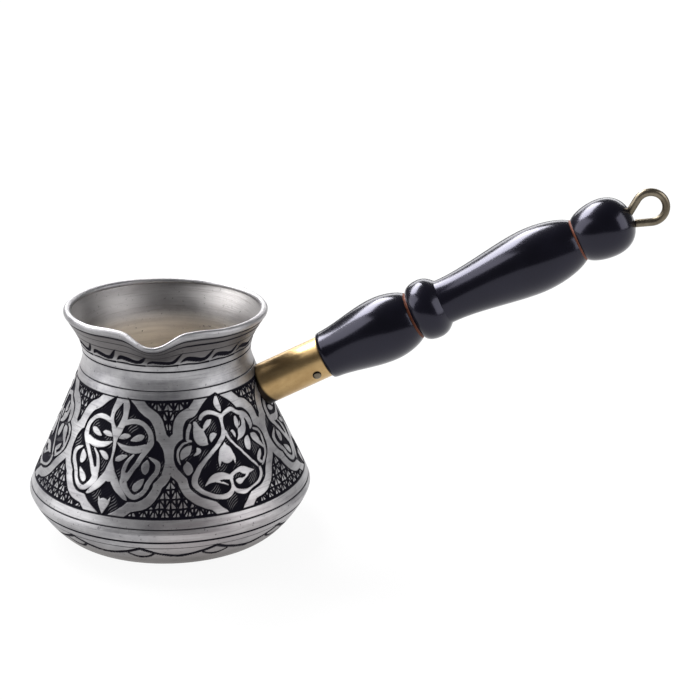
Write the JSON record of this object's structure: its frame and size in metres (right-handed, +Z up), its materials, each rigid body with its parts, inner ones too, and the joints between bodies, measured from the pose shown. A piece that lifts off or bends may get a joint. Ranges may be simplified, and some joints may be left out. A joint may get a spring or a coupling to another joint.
{
  "type": "turkish coffee pot cezve",
  "caption": "Small engraved metal coffee pot with a flared mouth and pouring lip, and a long turned wooden handle ending in a wire hanging eye.",
  "frame": {"origin": "centre of the pot's flat base, on the surface that it stands on", "axes": "+Z up along the pot's axis; the handle rises outwards along +X; the spout pours towards -Y"},
  "size_m": [0.212, 0.095, 0.1207],
  "materials": {
    "tinned_copper": "satin",
    "brass": "satin",
    "copper": "satin",
    "lacquered_wood": "gloss",
    "steel": "satin"
  },
  "bodies": {
    "root": {"pot_body": "tinned_copper", "ferrule": "brass", "ferrule_saddle": "brass", "mounting_rivet": "tinned_copper", "rivet_washer": "copper", "wooden_handle": "lacquered_wood", "ferrule_nail": "steel", "hanging_eye": "steel"}
  },
  "joints": []
}
